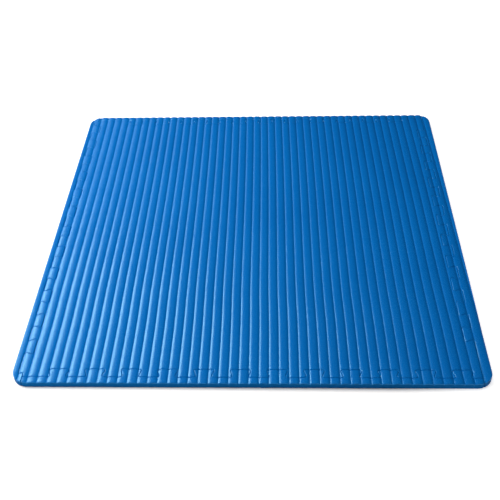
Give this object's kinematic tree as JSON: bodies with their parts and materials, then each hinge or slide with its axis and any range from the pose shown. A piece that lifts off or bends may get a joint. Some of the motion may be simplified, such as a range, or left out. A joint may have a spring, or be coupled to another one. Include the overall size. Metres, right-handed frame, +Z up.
{
  "type": "foam floor tile with border strips",
  "caption": "Thin square ribbed foam exercise mat: a jigsaw floor tile closed off by slim interlocking border strips with rounded outer corners.",
  "frame": {"origin": "middle of the flat underside", "axes": "+Z up through the thickness, +Y along the ribs from the front strip to the back strip, +X from the left strip to the right strip"},
  "size_m": [1, 1, 0.015],
  "materials": {
    "blue_foam": "satin closed-cell EVA foam skin, fine leathery grain, one blue all through"
  },
  "bodies": {
    "tile": {"centre_tile": "blue_foam"},
    "left_strip": {"left_border": "blue_foam"},
    "right_strip": {"right_border": "blue_foam"},
    "front_strip": {"front_border": "blue_foam"},
    "back_strip": {"back_border": "blue_foam"}
  },
  "joints": [
    {"name": "left_strip_lift", "type": "slide", "parent": "tile", "child": "left_strip", "axis": [0, 0, 1], "range_m": [0, 0.03]},
    {"name": "right_strip_lift", "type": "slide", "parent": "tile", "child": "right_strip", "axis": [0, 0, 1], "range_m": [0, 0.03]},
    {"name": "front_strip_lift", "type": "slide", "parent": "tile", "child": "front_strip", "axis": [0, 0, 1], "range_m": [0, 0.03]},
    {"name": "back_strip_lift", "type": "slide", "parent": "tile", "child": "back_strip", "axis": [0, 0, 1], "range_m": [0, 0.03]}
  ]
}
